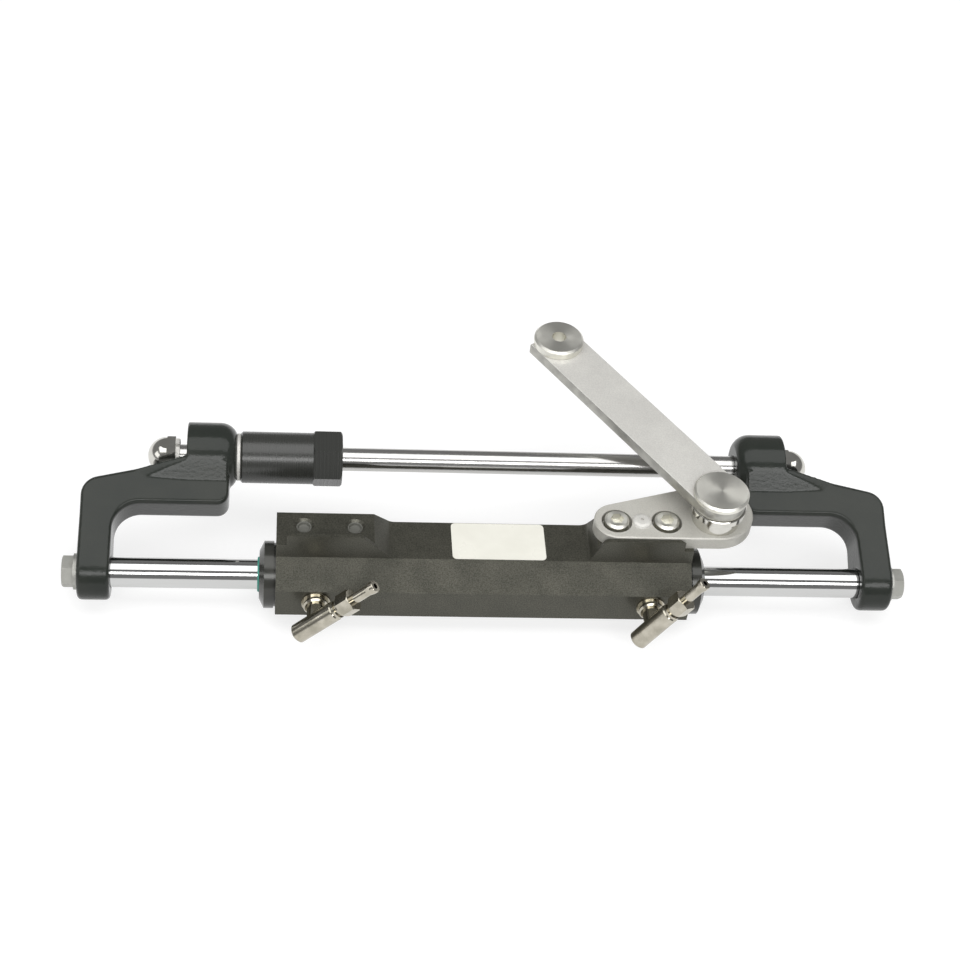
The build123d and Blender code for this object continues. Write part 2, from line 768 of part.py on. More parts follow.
plate_plug.part.label = "plate_plug"
export_step(plate_plug.part, "parts/plate_plug.step")

# Pivot pin with its spacer, washer and nut
pin_plane = Plane(
    origin=(pin_x, cylinder_y + pin_y, cylinder_z), x_dir=(0, 0, 1), z_dir=(0, 1, 0)
)
pin_radius = pin_diameter / 2
head_top = head_bottom + pin_head_height
washer_bottom = plate_bottom - pin_washer_thickness
nut_bottom = washer_bottom - pin_nut_height
with BuildPart() as pivot_pin:
    turn([
        (nut_bottom - 1.5, 0),
        (nut_bottom - 1.5, pin_thread_diameter / 2 - 0.8),
        (nut_bottom - 0.7, pin_thread_diameter / 2),
        (plate_bottom + 1, pin_thread_diameter / 2),
        (plate_bottom + 1, pin_radius),
        (head_bottom, pin_radius),
        (head_bottom, pin_head_radius),
        (head_top - pin_head_chamfer, pin_head_radius),
        (head_top, pin_head_radius - pin_head_chamfer),
        (head_top, 0),
    ], pin_plane)
pivot_pin.part.label = "pivot_pin"
export_step(pivot_pin.part, "parts/pivot_pin.step")

with BuildPart() as pin_spacer:
    ring(plate_top, plate_top + pin_spacer_height, pin_radius, pin_spacer_radius, pin_plane)
    chamfer(pin_spacer.faces().sort_by(Axis.Z)[-1].outer_wire().edges(), length=0.6)
pin_spacer.part.label = "pin_spacer"
export_step(pin_spacer.part, "parts/pin_spacer.step")

with BuildPart() as arm_washer:
    ring(spacer_top, spacer_top + arm_washer_thickness, pin_radius, arm_washer_radius, pin_plane)
    chamfer(arm_washer.faces().sort_by(Axis.Z)[-1].outer_wire().edges(), length=arm_washer_chamfer)
    chamfer(arm_washer.faces().sort_by(Axis.Z)[0].outer_wire().edges(), length=arm_washer_chamfer)
arm_washer.part.label = "arm_washer"
export_step(arm_washer.part, "parts/arm_washer.step")

with BuildPart() as pin_washer:
    ring(washer_bottom, plate_bottom, pin_thread_diameter / 2, pin_washer_radius, pin_plane)
pin_washer.part.label = "pin_washer"
export_step(pin_washer.part, "parts/pin_washer.step")

with BuildPart() as pin_nut:
    hexagon(level_at(nut_bottom, pin_x, pin_y), pin_nut_flats, pin_nut_height)
    ring(nut_bottom - 1, washer_bottom + 1, 0, pin_thread_diameter / 2, pin_plane, Mode.SUBTRACT)
pin_nut.part.label = "pin_nut"
export_step(pin_nut.part, "parts/pin_nut.step")

# Link arm: flat bar from the pivot pin to the tiller
arm_dir = Vector(cos(radians(arm_angle)), sin(radians(arm_angle)), 0)
pin_centre = Vector(pin_x, cylinder_y + pin_y, cylinder_z)
arm_plane = Plane(origin=pin_centre + Vector(0, 0, arm_bottom), x_dir=arm_dir, z_dir=(0, 0, 1))
with BuildPart() as link_arm:
    with BuildSketch(arm_plane):
        with Locations((arm_length / 2, 0)):
            SlotCenterToCenter(arm_length, arm_width)
        Circle(arm_bush_radius, mode=Mode.SUBTRACT)
        with Locations((arm_length, 0)):
            Circle(tiller_hub_radius + running_gap, mode=Mode.SUBTRACT)
    extrude(amount=arm_thickness)
    chamfer(link_arm.faces().sort_by(Axis.Z)[-1].outer_wire().edges(), length=1.2)
link_arm.part.label = "link_arm"
export_step(link_arm.part, "parts/link_arm.step")

with BuildPart() as arm_bush:
    with BuildSketch(arm_plane):
        Circle(arm_bush_radius)
        Circle(pin_radius + running_gap, mode=Mode.SUBTRACT)
    extrude(amount=arm_thickness)
arm_bush.part.label = "arm_bush"
export_step(arm_bush.part, "parts/arm_bush.step")

# Tiller bush: turns in the arm's far end and takes the tiller bolt
tiller_centre = pin_centre + arm_dir * arm_length
tiller_plane = Plane(origin=tiller_centre, x_dir=(0, 0, 1), z_dir=(0, 1, 0))
tiller_hole = tiller_hole_diameter / 2
disc_bottom = arm_top + side_gap
disc_top = disc_bottom + tiller_disc_height
clip_top = arm_bottom - side_gap
hub_bottom = clip_top - circlip_thickness - tiller_hub_tail + 1
with BuildPart() as tiller_bush:
    turn([
        (hub_bottom, tiller_hole),
        (hub_bottom, tiller_hub_radius),
        (disc_bottom, tiller_hub_radius),
        (disc_bottom, tiller_disc_radius),
        (disc_top - 1.5, tiller_disc_radius),
        (disc_top, tiller_disc_radius - 1.5),
        (disc_top, tiller_hole),
    ], tiller_plane)
    ring(clip_top - circlip_thickness, clip_top, tiller_hub_radius - circlip_depth,
         tiller_hub_radius + 1, tiller_plane, Mode.SUBTRACT)
tiller_bush.part.label = "tiller_bush"
export_step(tiller_bush.part, "parts/tiller_bush.step")

with BuildPart() as tiller_circlip:
    ring(clip_top - circlip_thickness, clip_top, tiller_hub_radius - circlip_depth,
         tiller_hub_radius + 2, tiller_plane)
tiller_circlip.part.label = "tiller_circlip"
export_step(tiller_circlip.part, "parts/tiller_circlip.step")

# Hose fittings: one bleeder tee at each port
for name, side, lean in (("left", -1, fitting_lean_left), ("right", 1, fitting_lean_right)):
    port_x = barrel_centre + side * (barrel_half - port_inset)
    face_y = cylinder_y - barrel_half_width
    port_z = cylinder_z + port_height
    stem_plane = Plane(origin=(port_x, face_y, port_z), x_dir=(0, -1, 0), z_dir=(0, 0, 1))
    hose_dir = Vector(cos(radians(lean)), 0, sin(radians(lean)))
    tee_plane = Plane(
        origin=(port_x, face_y - fitting_offset, port_z), x_dir=hose_dir, z_dir=(0, -1, 0)
    )

    with BuildPart() as port_washer:
        ring(0, port_washer_thickness, port_thread_radius, port_washer_radius, stem_plane)
    port_washer.part.label = "port_washer_" + name
    export_step(port_washer.part, "parts/port_washer_" + name + ".step")

    flange_top = port_washer_thickness + stem_flange_height
    with BuildPart() as tee_body:
        turn([
            (-port_thread_length, 0),
            (-port_thread_length, port_thread_radius - 0.04),
            (port_washer_thickness, port_thread_radius - 0.04),
            (port_washer_thickness, stem_flange_radius),
            (flange_top - 1, stem_flange_radius),
            (flange_top, stem_flange_radius - 1),
            (flange_top, stem_radius),
            (fitting_offset, stem_radius),
            (fitting_offset, 0),
        ], stem_plane)
        turn([
            (-tee_back, 0),
            (-tee_back, tee_radius - tee_chamfer),
            (tee_chamfer - tee_back, tee_radius),
            (tee_front - tee_chamfer, tee_radius),
            (tee_front, tee_radius - tee_chamfer),
            (tee_front, 0),
        ], tee_plane)
        ring(-tee_back - 1, bleed_screw_length - tee_back, 0, bleed_screw_radius, tee_plane,
             Mode.SUBTRACT)
    tee_body.part.label = "tee_body_" + name
    export_step(tee_body.part, "parts/tee_body_" + name + ".step")

    with BuildPart() as bleed_screw:
        ring(0.8 - tee_back, bleed_screw_length - tee_back, 0, bleed_screw_radius, tee_plane)
        hexagon(across(tee_plane, 0.8 - tee_back), bleed_screw_flats, 3, Mode.SUBTRACT)
    bleed_screw.part.label = "bleed_screw_" + name
    export_step(bleed_screw.part, "parts/bleed_screw_" + name + ".step")

    nut_start = tee_front + hose_collar_length
    nut_end = nut_start + hose_nut_length
    with BuildPart() as hose_nut:
        ring(tee_front, nut_start, 0, hose_neck_radius, tee_plane)
        ring(tee_front, tee_front + hose_collar_length * 0.3, 0, hose_collar_radius, tee_plane)
        ring(nut_start - hose_collar_length * 0.3, nut_start, 0, hose_collar_radius, tee_plane)
        hexagon(across(tee_plane, nut_start), hose_nut_flats, hose_nut_length)
        corner = hose_nut_flats / 2 / cos(radians(30))
        for face, way in ((nut_start, 1), (nut_end, -1)):
            turn([
                (face, corner - 1),
                (face + way * 0.6, corner),
                (face + way * 0.6, corner + 1),
                (face, corner + 1),
            ], tee_plane, Mode.SUBTRACT)
        ring(nut_start, nut_end + 1, 0, hose_tail_radius, tee_plane, Mode.SUBTRACT)
    hose_nut.part.label = "hose_nut_" + name
    export_step(hose_nut.part, "parts/hose_nut_" + name + ".step")

    tail_end = nut_end + hose_tail_length
    with BuildPart() as hose_tail:
        turn([
            (nut_start, hose_tail_bore),
            (nut_start, hose_tail_radius),
            (tail_end - hose_tip_length - hose_flare_length, hose_tail_radius),
            (tail_end - hose_tip_length, hose_tip_radius),
            (tail_end - 0.3, hose_tip_radius),
            (tail_end, hose_tip_radius - 0.3),
            (tail_end, hose_tail_bore),
        ], tee_plane)
    hose_tail.part.label = "hose_tail_" + name
    export_step(hose_tail.part, "parts/hose_tail_" + name + ".step")
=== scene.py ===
import json
import math

import bmesh
import bpy
from mathutils import Matrix, Vector


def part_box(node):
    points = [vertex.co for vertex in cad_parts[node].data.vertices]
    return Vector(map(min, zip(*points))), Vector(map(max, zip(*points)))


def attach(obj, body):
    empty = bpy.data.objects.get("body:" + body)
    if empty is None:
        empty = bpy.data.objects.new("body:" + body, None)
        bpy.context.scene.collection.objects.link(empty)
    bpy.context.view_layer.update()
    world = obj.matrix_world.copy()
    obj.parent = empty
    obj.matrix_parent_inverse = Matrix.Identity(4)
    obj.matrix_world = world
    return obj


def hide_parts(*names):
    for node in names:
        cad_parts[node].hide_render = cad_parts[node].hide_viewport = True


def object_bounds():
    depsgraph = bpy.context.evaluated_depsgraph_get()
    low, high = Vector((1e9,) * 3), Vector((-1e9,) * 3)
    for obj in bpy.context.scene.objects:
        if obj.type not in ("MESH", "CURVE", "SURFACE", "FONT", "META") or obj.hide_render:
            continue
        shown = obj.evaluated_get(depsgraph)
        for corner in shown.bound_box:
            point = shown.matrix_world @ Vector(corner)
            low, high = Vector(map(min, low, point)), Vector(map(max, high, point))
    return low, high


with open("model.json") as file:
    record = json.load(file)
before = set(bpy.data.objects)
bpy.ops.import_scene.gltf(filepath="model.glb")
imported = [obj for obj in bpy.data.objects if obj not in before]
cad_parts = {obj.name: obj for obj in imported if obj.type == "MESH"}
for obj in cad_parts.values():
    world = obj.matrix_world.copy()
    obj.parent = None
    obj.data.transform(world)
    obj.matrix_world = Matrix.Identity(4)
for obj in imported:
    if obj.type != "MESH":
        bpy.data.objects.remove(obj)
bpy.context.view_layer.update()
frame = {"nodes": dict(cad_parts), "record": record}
nodes = frame["nodes"]
scene = bpy.context.scene

MM_IN_METRE = 1000
SHARP_ANGLE = math.radians(30)

# Camera, as fitted to the photograph: degrees, metres and a lens in millimetres
CAMERA_AZIMUTH = -8.45
CAMERA_ELEVATION = 45.33
CAMERA_ROLL = 7.2
CAMERA_DISTANCE = 1.3725
CAMERA_LENS = 76.6
CAMERA_SENSOR = 36
CAMERA_REACH = 50
AIM_RIGHT = -0.0068
AIM_UP = 0.0657


def middle(node):
    """Middle of a CAD node's box."""
    low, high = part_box(node)
    return (low + high) / 2


rod_axis = middle("piston_rod")
support_axis = middle("support_rod")


# Camera
def place_camera():
    """The camera aims beside the piston rod's middle and is turned by the roll."""
    azimuth = math.radians(CAMERA_AZIMUTH)
    elevation = math.radians(CAMERA_ELEVATION)
    roll = math.radians(CAMERA_ROLL)
    back = Vector((
        math.sin(azimuth) * math.cos(elevation),
        -math.cos(azimuth) * math.cos(elevation),
        math.sin(elevation),
    ))
    level_right = Vector((0, 0, 1)).cross(back).normalized()
    level_up = back.cross(level_right)
    right = level_right * math.cos(roll) + level_up * math.sin(roll)
    up = level_up * math.cos(roll) - level_right * math.sin(roll)
    aim = Vector((0, rod_axis.y, rod_axis.z)) + right * AIM_RIGHT + up * AIM_UP
    place = aim + back * CAMERA_DISTANCE
    data = bpy.data.cameras.new("camera")
    data.lens = CAMERA_LENS
    data.sensor_width = CAMERA_SENSOR
    data.clip_end = CAMERA_REACH
    camera = bpy.data.objects.new("camera", data)
    scene.collection.objects.link(camera)
    turn = Matrix((right, up, back)).transposed().to_4x4()
    camera.matrix_world = Matrix.Translation(place) @ turn
    scene.camera = camera


place_camera()


# Studio: a wide soft box overhead, a low strip in front, and darker air between and behind
def softbox(name, place, aim, size, brightness):
    """An area lamp of one brightness all over, which polished metal shows as it is."""
    data = bpy.data.lights.new(name, "AREA")
    data.shape = "RECTANGLE"
    data.size, data.size_y = size
    data.energy = brightness * math.pi * size[0] * size[1]
    lamp = bpy.data.objects.new(name, data)
    scene.collection.objects.link(lamp)
    away = (Vector(aim) - Vector(place)).normalized()
    lamp.rotation_euler = away.to_track_quat("-Z", "Y").to_euler()
    lamp.location = place


softbox("top_light", place=(0.0, -0.04, 1.5), aim=(0.0, -0.04, 0.0), size=(3.2, 1.28),
        brightness=2.05)
softbox("front_light", place=(0.0, -1.49, 1.24), aim=(0.0, 0.0, 0.03), size=(2.8, 0.51),
        brightness=5.6)
softbox("left_light", place=(-1.7, -0.5, 0.7), aim=(0.0, 0.0, 0.0), size=(0.9, 0.7),
        brightness=1.4)

# Brightness of the sky by height, from 0 at the horizon to 1 overhead
SKY = ((0.0, 0.9), (0.03, 0.3), (0.25, 0.24), (0.5, 0.26), (1.0, 0.2))


def make_world():
    """A sky that is pale at the horizon and grey above it."""
    world = bpy.data.worlds.new("studio")
    scene.world = world
    world.use_nodes = True
    tree = world.node_tree
    tree.nodes.clear()
    out = tree.nodes.new("ShaderNodeOutputWorld")
    sky = tree.nodes.new("ShaderNodeBackground")
    place = tree.nodes.new("ShaderNodeTexCoord")
    split = tree.nodes.new("ShaderNodeSeparateXYZ")
    ramp = tree.nodes.new("ShaderNodeValToRGB")
    points = ramp.color_ramp.elements
    while len(points) < len(SKY):
        points.new(0.5)
    for point, (height, level) in zip(points, SKY):
        point.position = height
        point.color = (level, level, level, 1)
    tree.links.new(place.outputs["Generated"], split.inputs[0])
    tree.links.new(split.outputs["Z"], ramp.inputs[0])
    tree.links.new(ramp.outputs[0], sky.inputs["Color"])
    tree.links.new(sky.outputs[0], out.inputs[0])


make_world()


# Material helpers: noise scales are per metre, and bump distances are in metres
def new_material(name, colour, metallic, roughness, gloss=0.5):
    material = bpy.data.materials.new(name)
    material.use_nodes = True
    shader = material.node_tree.nodes["Principled BSDF"]
    shader.inputs["Base Color"].default_value = (*colour, 1)
    shader.inputs["Metallic"].default_value = metallic
    shader.inputs["Roughness"].default_value = roughness
    shader.inputs["Specular IOR Level"].default_value = gloss
    return material, material.node_tree, shader


def coordinates(tree, scale=(1, 1, 1)):
    """Object coordinates in metres, stretched by a scale."""
    place = tree.nodes.new("ShaderNodeTexCoord")
    mapping = tree.nodes.new("ShaderNodeMapping")
    mapping.inputs["Scale"].default_value = scale
    tree.links.new(place.outputs["Object"], mapping.inputs["Vector"])
    return mapping.outputs[0]


def noise(tree, vector, scale, detail=3.0, roughness=0.5):
    node = tree.nodes.new("ShaderNodeTexNoise")
    node.inputs["Scale"].default_value = scale
    node.inputs["Detail"].default_value = detail
    node.inputs["Roughness"].default_value = roughness
    tree.links.new(vector, node.inputs["Vector"])
    return node.outputs["Fac"]


def remap(tree, value, low, high, start=0.0, end=1.0):
    """The value with low to high stretched over start to end."""
    node = tree.nodes.new("ShaderNodeMapRange")
    node.inputs["From Min"].default_value = low
    node.inputs["From Max"].default_value = high
    node.inputs["To Min"].default_value = start
    node.inputs["To Max"].default_value = end
    tree.links.new(value, node.inputs["Value"])
    return node.outputs[0]


def blend_colours(tree, patches, first, second):
    """One colour in the noise's low patches and the other in its high ones."""
    node = tree.nodes.new("ShaderNodeMix")
    node.data_type = "RGBA"
    node.inputs[6].default_value = (*first, 1)
    node.inputs[7].default_value = (*second, 1)
    tree.links.new(remap(tree, patches, low=0.35, high=0.65), node.inputs[0])
    return node.outputs[2]


def add_bump(tree, shader, height, strength, distance):
    node = tree.nodes.new("ShaderNodeBump")
    node.inputs["Strength"].default_value = strength
    node.inputs["Distance"].default_value = distance
    tree.links.new(height, node.inputs["Height"])
    tree.links.new(node.outputs[0], shader.inputs["Normal"])


def speckled(tree, colour, vector, amount):
    """The colour lighter and darker by turns in grains just under a millimetre wide."""
    grains = noise(tree, vector, scale=1300.0, detail=2.0, roughness=0.6)
    shades = remap(tree, grains, low=0.35, high=0.65, start=1 - amount, end=1 + amount)
    node = tree.nodes.new("ShaderNodeMix")
    node.data_type = "RGBA"
    node.blend_type = "MULTIPLY"
    node.inputs[0].default_value = 1.0
    tree.links.new(colour, node.inputs[6])
    tree.links.new(shades, node.inputs[7])
    return node.outputs[2]


def mottled(name, first, second, metallic, rough, patch, bump, grain=900.0, stretch=(1, 1, 1),
            gloss=0.5, speckle=0.0):
    """A finish with soft patches of two colours and of two roughnesses, and a fine grain."""
    low_rough, high_rough = rough
    material, tree, shader = new_material(name, first, metallic, low_rough, gloss)
    vector = coordinates(tree, stretch)
    patches = noise(tree, vector, patch, detail=4.0)
    fine = noise(tree, vector, grain, detail=2.0)
    colour = blend_colours(tree, patches, first, second)
    if speckle:
        colour = speckled(tree, colour, vector, speckle)
    tree.links.new(colour, shader.inputs["Base Color"])
    tree.links.new(
        remap(tree, patches, low=0.3, high=0.7, start=low_rough, end=high_rough),
        shader.inputs["Roughness"],
    )
    add_bump(tree, shader, fine, strength=0.5, distance=bump)
    return material


def turned_metal(name, first, second, roughness, anisotropy):
    """Lathe-faced metal: fine rings about Z, with fan-shaped highlights."""
    material, tree, shader = new_material(name, first, 1.0, roughness)
    shader.inputs["Anisotropic"].default_value = anisotropy
    tangent = tree.nodes.new("ShaderNodeTangent")
    tangent.direction_type = "RADIAL"
    tangent.axis = "Z"
    tree.links.new(tangent.outputs[0], shader.inputs["Tangent"])
    patches = noise(tree, coordinates(tree), scale=90.0)
    tree.links.new(blend_colours(tree, patches, first, second), shader.inputs["Base Color"])
    tree.links.new(
        remap(tree, patches, low=0.3, high=0.7, start=roughness * 0.85, end=roughness * 1.2),
        shader.inputs["Roughness"],
    )
    return material


def ribbed(name, colour, roughness, pitch, bump):
    """Dark finish with fine marks round the X axis."""
    material, tree, shader = new_material(name, colour, 0.0, roughness, gloss=0.6)
    vector = coordinates(tree, (1 / pitch, 4, 4))
    lines = noise(tree, vector, scale=1.0, detail=2.0, roughness=0.7)
    tree.links.new(
        remap(tree, lines, low=0.35, high=0.7, start=roughness * 0.75, end=roughness * 1.3),
        shader.inputs["Roughness"],
    )
    add_bump(tree, shader, lines, strength=0.6, distance=bump)
    return material


# Finishes, by the record's material slots
finishes = {
    "bracket_paint": mottled(
        "bracket_paint", (0.022, 0.0255, 0.022), (0.029, 0.032, 0.027), metallic=0.0,
        rough=(0.16, 0.24), patch=25.0, bump=0.0002, grain=420.0, gloss=0.25,
    ),
    "chrome_rod": mottled(
        "chrome_rod", (0.56, 0.565, 0.56), (0.54, 0.54, 0.535), metallic=1.0,
        rough=(0.06, 0.09), patch=12.0, bump=0.000004, grain=500.0, stretch=(1, 8, 8),
    ),
    "stainless_rod": mottled(
        "stainless_rod", (0.56, 0.555, 0.54), (0.52, 0.515, 0.5), metallic=1.0,
        rough=(0.17, 0.22), patch=12.0, bump=0.00001, grain=500.0, stretch=(1, 8, 8),
    ),
    "stainless": mottled(
        "stainless", (0.63, 0.62, 0.585), (0.57, 0.56, 0.53), metallic=0.3,
        rough=(0.42, 0.5), patch=45.0, bump=0.00005, speckle=0.08,
    ),
    "zinc_steel": mottled(
        "zinc_steel", (0.46, 0.46, 0.43), (0.38, 0.38, 0.35), metallic=0.8,
        rough=(0.45, 0.6), patch=80.0, bump=0.00008,
    ),
    "barrel_alloy": mottled(
        "barrel_alloy", (0.066, 0.065, 0.052), (0.077, 0.075, 0.06), metallic=0.55,
        rough=(0.28, 0.34), patch=60.0, bump=0.0001, gloss=0.4, speckle=0.3,
    ),
    "gland_alloy": mottled(
        "gland_alloy", (0.034, 0.035, 0.031), (0.044, 0.044, 0.038), metallic=0.2,
        rough=(0.16, 0.22), patch=60.0, bump=0.00003,
    ),
    "wiper_rubber": mottled(
        "wiper_rubber", (0.06, 0.34, 0.27), (0.05, 0.28, 0.22), metallic=0.0,
        rough=(0.45, 0.55), patch=200.0, bump=0.00003,
    ),
    "seal_rubber": mottled(
        "seal_rubber", (0.02, 0.02, 0.02), (0.025, 0.025, 0.025), metallic=0.0,
        rough=(0.5, 0.6), patch=200.0, bump=0.00003,
    ),
    "bearing_plastic": mottled(
        "bearing_plastic", (0.7, 0.67, 0.56), (0.64, 0.6, 0.5), metallic=0.0,
        rough=(0.45, 0.55), patch=200.0, bump=0.00003,
    ),
    "label_film": mottled(
        "label_film", (0.74, 0.73, 0.66), (0.7, 0.69, 0.62), metallic=0.0,
        rough=(0.25, 0.35), patch=60.0, bump=0.00001,
    ),
    "black_nut": ribbed(
        "black_nut", (0.03, 0.031, 0.028), roughness=0.28, pitch=0.0009, bump=0.00008,
    ),
    "nickel": mottled(
        "nickel", (0.5, 0.47, 0.4), (0.36, 0.34, 0.28), metallic=1.0,
        rough=(0.1, 0.18), patch=120.0, bump=0.00003,
    ),
}

# Finishes of single pieces
plate_steel = mottled(
    "plate_steel", (0.51, 0.5, 0.46), (0.46, 0.45, 0.41), metallic=0.3,
    rough=(0.42, 0.5), patch=45.0, bump=0.00005, speckle=0.08,
)
turned_face = turned_metal(
    "turned_face", (0.8, 0.79, 0.73), (0.76, 0.75, 0.69), roughness=0.36, anisotropy=0.6,
)
polished = mottled(
    "polished", (0.62, 0.61, 0.57), (0.56, 0.55, 0.51), metallic=1.0,
    rough=(0.1, 0.16), patch=120.0, bump=0.00001,
)
cap_finish = mottled(
    "cap_finish", (0.1, 0.1, 0.088), (0.13, 0.13, 0.115), metallic=0.2,
    rough=(0.3, 0.4), patch=60.0, bump=0.00004,
)
cut_edge = mottled(
    "cut_edge", (0.44, 0.435, 0.4), (0.36, 0.355, 0.33), metallic=1.0,
    rough=(0.3, 0.4), patch=150.0, bump=0.00004,
)


def finish_node(node, material):
    mesh = nodes[node].data
    mesh.materials.clear()
    mesh.materials.append(material)


for part in frame["record"]["subparts"]:
    finish_node(part["node"], finishes[part["material_slot"]])
for node in ("pivot_pin", "tiller_bush", "plate_screw_inner", "plate_screw_outer"):
    finish_node(node, turned_face)
for node in ("support_nut_left", "support_nut_right", "pin_spacer", "arm_washer"):
    finish_node(node, polished)
finish_node("link_plate", plate_steel)


# Cast brackets: the CAD solid with a ramp from the rod boss down to the arm, edges cast round.
# The ramp's corners are in millimetres: outwards along the rods, across to the support rod, up.
RAMP_CREST = ((177, 73.1, 20.5), (204, 73.1, 20.5), (205, 76.2, 20.0))
RAMP_FOOT = ((177, 60.3, 14.0), (204, 60.3, 14.0), (232, 62.0, 13.9), (238, 68.0, 13.9))
RAMP_ROOT = ((177, 73.1, 12.0), (177, 61.0, 12.0), (232, 63.0, 12.0), (237, 67.5, 12.0),
             (205, 75.8, 13.9))
CAST_VOXEL = 0.0009
CAST_SMOOTHING = 5


def bracket_axes(side):
    """Outwards along the rods, from the piston rod to the support rod, and up off the casting."""
    outwards = Vector((side, 0, 0))
    across = Vector((0, support_axis.y - rod_axis.y, support_axis.z - rod_axis.z)).normalized()
    upwards = Vector((0, -across.z, across.y))
    turn = Matrix((outwards, across, upwards)).transposed().to_4x4()
    return Matrix.Translation((0, rod_axis.y, rod_axis.z)) @ turn


def ramped_bracket(name, axes):
    """A copy of the CAD bracket and the ramp's hull, in the bracket's own axes."""
    shape = bmesh.new()
    shape.from_mesh(nodes["bracket_" + name].data)
    bmesh.ops.transform(shape, matrix=axes.inverted(), verts=shape.verts)
    corners = [shape.verts.new(Vector(corner) / MM_IN_METRE)
               for corner in RAMP_CREST + RAMP_FOOT + RAMP_ROOT]
    hull = bmesh.ops.convex_hull(shape, input=corners)
    bmesh.ops.delete(shape, geom=hull["geom_interior"], context="VERTS")
    mesh = bpy.data.meshes.new("cast")
    shape.to_mesh(mesh)
    shape.free()
    return mesh


def cast_round(mesh):
    """The mesh joined into one skin, with its edges worn round."""
    rough = bpy.data.objects.new("cast", mesh)
    scene.collection.objects.link(rough)
    remesh = rough.modifiers.new("remesh", "REMESH")
    remesh.mode = "VOXEL"
    remesh.voxel_size = CAST_VOXEL
    smooth = rough.modifiers.new("smooth", "SMOOTH")
    smooth.factor = 0.5
    smooth.iterations = CAST_SMOOTHING
    seen = rough.evaluated_get(bpy.context.evaluated_depsgraph_get())
    cast = bpy.data.meshes.new_from_object(seen)
    bpy.data.objects.remove(rough)
    return cast


def cast_bracket(name, side):
    axes = bracket_axes(side)
    cast = cast_round(ramped_bracket(name, axes))
    shape = bmesh.new()
    shape.from_mesh(cast)
    bmesh.ops.transform(shape, matrix=axes, verts=shape.verts)
    bmesh.ops.recalc_face_normals(shape, faces=shape.faces)
    shape.to_mesh(cast)
    shape.free()
    cast.shade_smooth()
    cast.materials.clear()
    cast.materials.append(finishes["bracket_paint"])
    piece = bpy.data.objects.new("cast_bracket_" + name, cast)
    scene.collection.objects.link(piece)
    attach(piece, "frame")
    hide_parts("bracket_" + name)


cast_bracket("right", 1)
cast_bracket("left", -1)


# Link arm: round about the pivot pin, cut square just past the tiller bush; metres
ARM_END = 0.0095
ARM_CHAMFER = 0.0005
TILLER_HOLE_RADIUS = 0.0092


def ring_points(centre, radius, start=0.0, sweep=360.0, count=48):
    """Points round a centre, over a full turn or over an arc with both of its ends."""
    steps = count if sweep == 360.0 else count - 1
    angles = [math.radians(start + sweep * step / steps) for step in range(count)]
    return [(centre.x + radius * math.cos(angle), centre.y + radius * math.sin(angle))
            for angle in angles]


def arm_loops():
    """The arm's outline and its two holes, which the chamfer then grows and shrinks."""
    low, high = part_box("link_arm")
    bush_low, bush_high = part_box("arm_bush")
    near = middle("arm_bush").xy
    far = middle("tiller_bush").xy
    half_width = far.x - low.x - ARM_CHAMFER
    along = (far - near).normalized()
    side = Vector((-along.y, along.x))
    turn = math.degrees(math.atan2(along.y, along.x))
    end = far + along * (ARM_END - ARM_CHAMFER)
    outline = ring_points(near, half_width, turn + 90, 180)
    outline += [tuple(end - side * half_width), tuple(end + side * half_width)]
    bush_hole = ring_points(near, (bush_high.x - bush_low.x) / 2 + ARM_CHAMFER)
    tiller_hole = ring_points(far, TILLER_HOLE_RADIUS + ARM_CHAMFER)
    return outline, bush_hole, tiller_hole


def square_arm():
    low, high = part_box("link_arm")
    curve = bpy.data.curves.new("arm", "CURVE")
    curve.dimensions = "2D"
    curve.fill_mode = "BOTH"
    curve.extrude = (high.z - low.z) / 2 - ARM_CHAMFER
    curve.bevel_depth = ARM_CHAMFER
    curve.bevel_resolution = 1
    for loop in arm_loops():
        spline = curve.splines.new("POLY")
        spline.points.add(len(loop) - 1)
        for point, place in zip(spline.points, loop):
            point.co = (*place, 0, 1)
        spline.use_cyclic_u = True
    flat = bpy.data.objects.new("arm", curve)
    mesh = bpy.data.meshes.new_from_object(flat)
    bpy.data.objects.remove(flat)
    mesh.transform(Matrix.Translation((0, 0, (high.z + low.z) / 2)))
    mesh.shade_smooth()
    mesh.set_sharp_from_angle(angle=SHARP_ANGLE)
    mesh.materials.clear()
    mesh.materials.append(finishes["stainless"])
    mesh.materials.append(cut_edge)
    for face in mesh.polygons:
        face.material_index = 0 if abs(face.normal.z) > 0.5 else 1
    piece = bpy.data.objects.new("square_arm", mesh)
    scene.collection.objects.link(piece)
    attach(piece, "link")
    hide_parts("link_arm")


square_arm()


# Small turned pieces
def lathe(name, profile, axes, material, steps=72):
    """A closed profile of (radius, height) in millimetres, spun about Z of the axes."""
    shape = bmesh.new()
    rings = []
    for step in range(steps):
        angle = math.tau * step / steps
        rings.append([
            shape.verts.new(axes @ Vector((
                radius * math.cos(angle) / MM_IN_METRE,
                radius * math.sin(angle) / MM_IN_METRE,
                height / MM_IN_METRE,
            )))
            for radius, height in profile
        ])
    for step, ring in enumerate(rings):
        after = rings[(step + 1) % steps]
        for spot in range(len(profile)):
            beside = (spot + 1) % len(profile)
            shape.faces.new((ring[spot], ring[beside], after[beside], after[spot]))
    bmesh.ops.remove_doubles(shape, verts=shape.verts, dist=1e-7)
    bmesh.ops.recalc_face_normals(shape, faces=shape.faces)
    mesh = bpy.data.meshes.new(name)
    shape.to_mesh(mesh)
    shape.free()
    mesh.shade_smooth()
    mesh.set_sharp_from_angle(angle=SHARP_ANGLE)
    mesh.materials.append(material)
    piece = bpy.data.objects.new(name, mesh)
    scene.collection.objects.link(piece)
    return piece


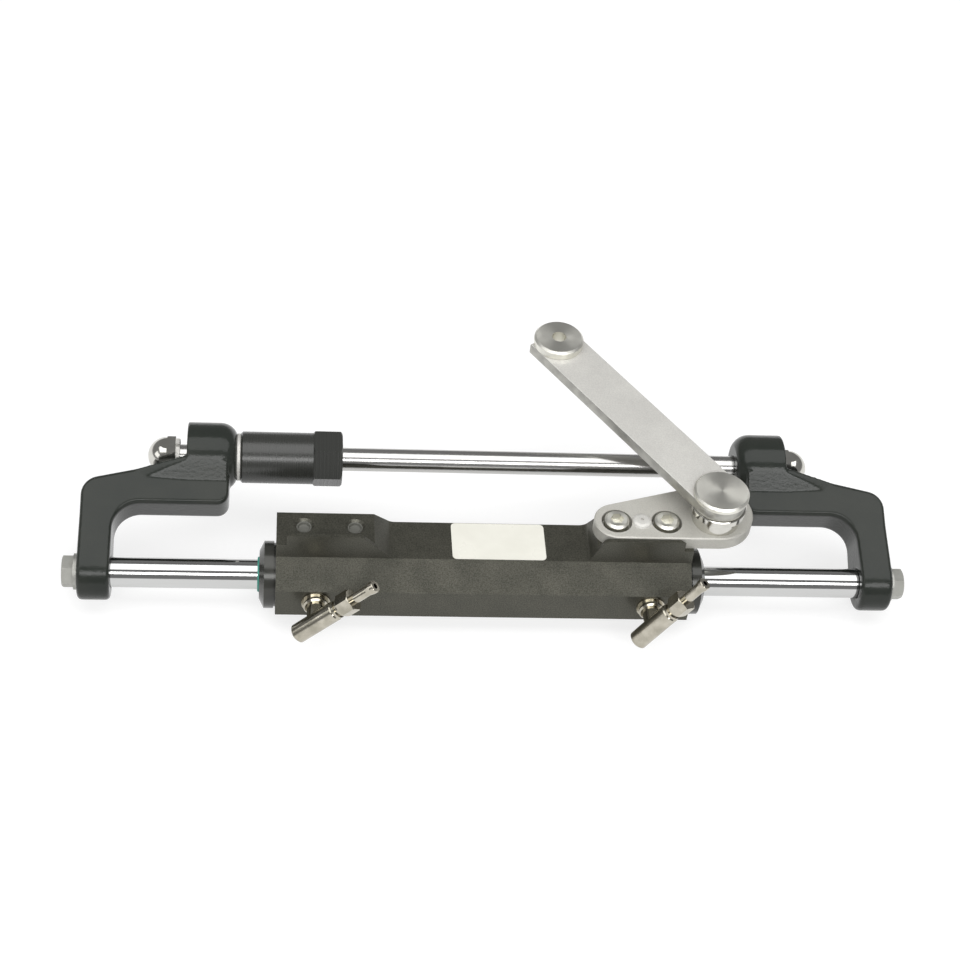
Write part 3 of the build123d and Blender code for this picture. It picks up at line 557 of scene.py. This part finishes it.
# Rod wipers: a body inside the gland and a rounded lip that stands just proud of its face
WIPER = ((10.02, -3.4), (11.75, -3.4), (11.75, 0.3), (11.4, 1.1), (10.9, 1.2), (10.4, 0.6),
         (10.02, 0.5))


def wiper_lip(name, side):
    gland_low, gland_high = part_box("gland_" + name)
    face = gland_low.x if side < 0 else gland_high.x
    turn = Matrix.Rotation(math.radians(90 * side), 4, "Y")
    place = Matrix.Translation((face, rod_axis.y, rod_axis.z)) @ turn
    wiper = lathe("wiper_lip_" + name, WIPER, place, finishes["wiper_rubber"])
    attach(wiper, "barrel")
    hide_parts("rod_wiper_" + name)


wiper_lip("left", -1)
wiper_lip("right", 1)

# Caps that close the two spare screw holes of the left pad, dished and just below its face
CAP = ((0.0, -5.0), (4.97, -5.0), (4.97, -1.5), (4.2, -1.6), (3.6, -3.0), (0.0, -3.3))


def spare_hole_cap(name):
    """The left pad's holes mirror the right pad's screws about the barrel's middle."""
    plate_low, plate_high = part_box("link_plate")
    barrel_low, barrel_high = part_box("barrel")
    screw = middle("plate_screw_" + name)
    across = barrel_low.x + barrel_high.x - screw.x
    place = Matrix.Translation((across, screw.y, plate_low.z))
    cap = lathe("spare_hole_cap_" + name, CAP, place, cap_finish)
    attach(cap, "barrel")


spare_hole_cap("inner")
spare_hole_cap("outer")


# Smooth shading on round faces and sharp edges between flats
def shade(node):
    mesh = nodes[node].data
    mesh.shade_smooth()
    mesh.set_sharp_from_angle(angle=SHARP_ANGLE)


for node in nodes:
    shade(node)

# Floor, in metres: it takes the object's shadow, and its glow carries it to white for the eye
FLOOR_HALF = 12.0
FLOOR_GAP = 0.001
FLOOR_GREY = 0.42
SEEN_GREY = 0.34
SEEN_GLOW = 0.72


def floor_material():
    """Plain grey to light, and white to the camera, to reflections and through glass."""
    grey = (FLOOR_GREY, FLOOR_GREY, FLOOR_GREY)
    material, tree, shader = new_material("floor", grey, 0.0, 0.9, gloss=0.0)
    out = tree.nodes["Material Output"]
    rays = tree.nodes.new("ShaderNodeLightPath")
    seen = rays.outputs["Is Camera Ray"]
    for kind in ("Is Glossy Ray", "Is Transmission Ray"):
        either = tree.nodes.new("ShaderNodeMath")
        either.operation = "MAXIMUM"
        tree.links.new(seen, either.inputs[0])
        tree.links.new(rays.outputs[kind], either.inputs[1])
        seen = either.outputs[0]
    pale = tree.nodes.new("ShaderNodeBsdfDiffuse")
    pale.inputs["Color"].default_value = (SEEN_GREY, SEEN_GREY, SEEN_GREY, 1)
    glow = tree.nodes.new("ShaderNodeEmission")
    glow.inputs["Strength"].default_value = SEEN_GLOW
    both = tree.nodes.new("ShaderNodeAddShader")
    tree.links.new(pale.outputs[0], both.inputs[0])
    tree.links.new(glow.outputs[0], both.inputs[1])
    choice = tree.nodes.new("ShaderNodeMixShader")
    tree.links.new(seen, choice.inputs[0])
    tree.links.new(shader.outputs[0], choice.inputs[1])
    tree.links.new(both.outputs[0], choice.inputs[2])
    tree.links.new(choice.outputs[0], out.inputs["Surface"])
    return material


def make_floor():
    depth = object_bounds()[0][2] - FLOOR_GAP
    corners = [(x * FLOOR_HALF, y * FLOOR_HALF, depth)
               for x, y in ((-1, -1), (1, -1), (1, 1), (-1, 1))]
    mesh = bpy.data.meshes.new("floor")
    mesh.from_pydata(corners, [], [(0, 1, 2, 3)])
    mesh.materials.append(floor_material())
    floor = bpy.data.objects.new("floor", mesh)
    scene.collection.objects.link(floor)


make_floor()

scene.view_settings.view_transform = "Standard"
